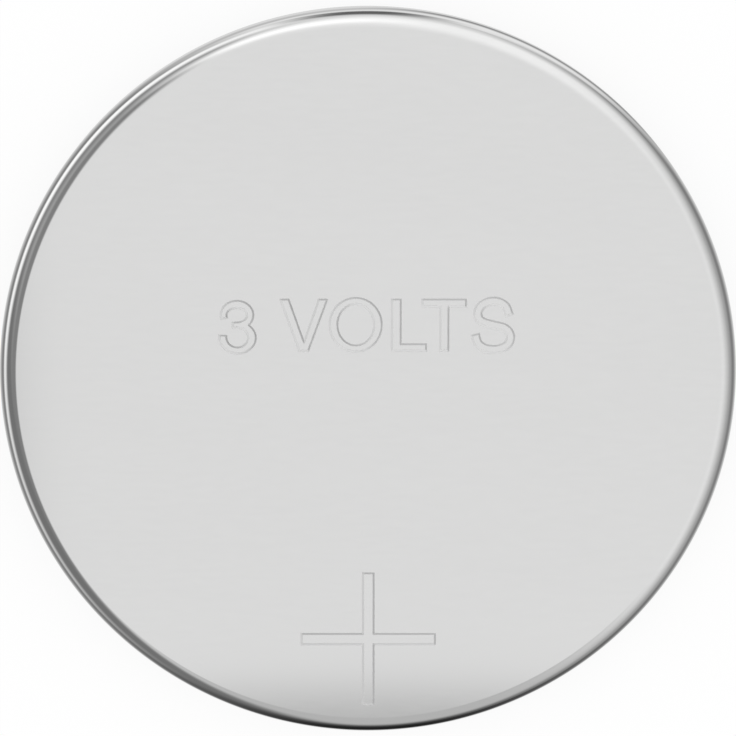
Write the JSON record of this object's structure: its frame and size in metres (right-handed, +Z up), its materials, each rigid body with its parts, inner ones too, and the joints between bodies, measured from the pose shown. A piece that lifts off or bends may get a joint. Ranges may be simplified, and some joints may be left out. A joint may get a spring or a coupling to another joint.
{
  "type": "lithium coin cell",
  "caption": "Flat round lithium coin cell: a drawn steel can with a curled lip, closed by a stepped cap on a moulded gasket.",
  "frame": {"origin": "centre of the negative cap's contact face, which the cell lies on", "axes": "+Z up along the cell's axis, out of the can's positive face; +Y runs from the foot to the top of the marks on that face"},
  "size_m": [0.02, 0.02, 0.0016],
  "materials": {
    "can_steel": "satin nickel plate, polished at the corner and wall",
    "cap_steel": "satin nickel plate",
    "gasket_plastic": "moulded polypropylene",
    "lithium_metal": "dull rolled lithium",
    "separator_fleece": "non-woven polypropylene",
    "cathode_mix": "pressed manganese dioxide with carbon",
    "collector_steel": "expanded sheet"
  },
  "bodies": {
    "root": {"positive_can": "can_steel", "cathode_collector": "collector_steel", "cathode_pellet": "cathode_mix", "separator": "separator_fleece", "lithium_anode": "lithium_metal", "gasket": "gasket_plastic", "negative_cap": "cap_steel"}
  },
  "joints": []
}
